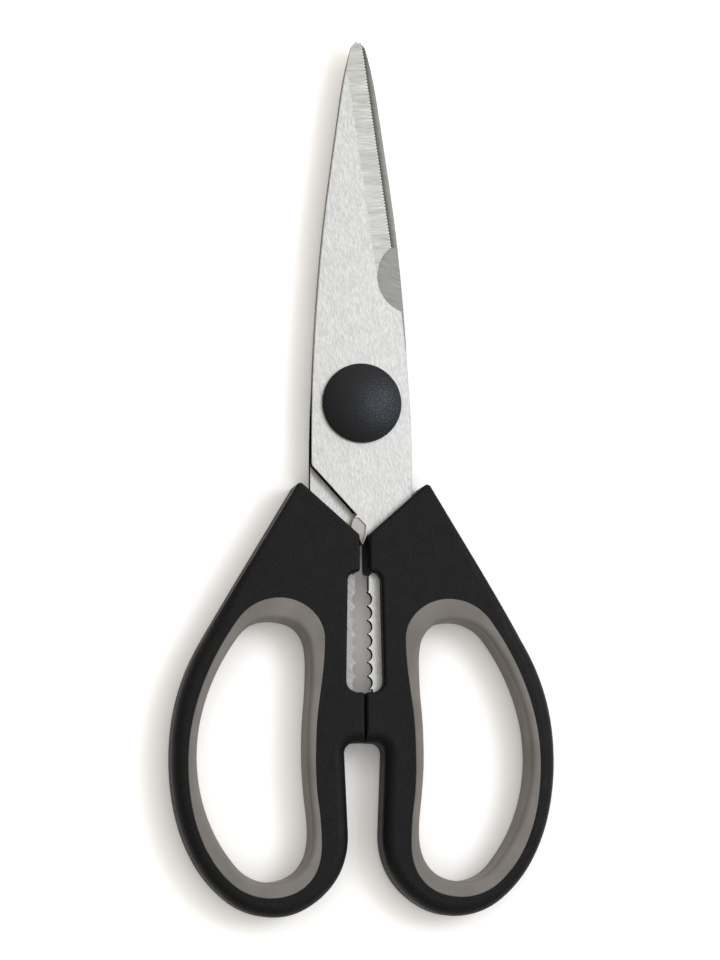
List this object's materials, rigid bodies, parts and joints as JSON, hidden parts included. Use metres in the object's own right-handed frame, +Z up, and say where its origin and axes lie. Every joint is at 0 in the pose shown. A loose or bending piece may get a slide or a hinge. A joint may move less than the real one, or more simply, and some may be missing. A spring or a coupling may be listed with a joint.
{
  "type": "kitchen shears",
  "caption": "Kitchen shears with soft-lined finger loops, a domed pivot cap, a bone notch and scalloped jaw plates between the handles.",
  "frame": {"origin": "on the pivot axis, at the flat underside of the back cap, which is the surface that the shears lie on", "axes": "+Y from the pivot to the blade tips, +X to the side of the front blade's handle, +Z up out of the front cap"},
  "size_m": [0.097, 0.2237, 0.012],
  "materials": {
    "blade_steel": "long brushed grain, cross-ground bevel",
    "black_plastic": "moulded, fine matte texture",
    "soft_grip": "moulded, dull",
    "cap_plastic": "moulded, satin grain",
    "fastener_steel": "turned"
  },
  "bodies": {
    "back_half": {"back_blade": "blade_steel", "left_handle": "black_plastic", "left_soft_grip": "soft_grip", "pivot_screw": "fastener_steel", "spring_washer": "fastener_steel", "pivot_nut": "fastener_steel", "front_cap": "cap_plastic", "back_cap": "cap_plastic"},
    "front_half": {"front_blade": "blade_steel", "right_handle": "black_plastic", "right_soft_grip": "soft_grip"}
  },
  "joints": [
    {"name": "pivot", "type": "hinge", "parent": "back_half", "child": "front_half", "pos_m": [0, 0, 0.006], "axis": [0, 0, 1], "range_deg": [0, 110]}
  ]
}
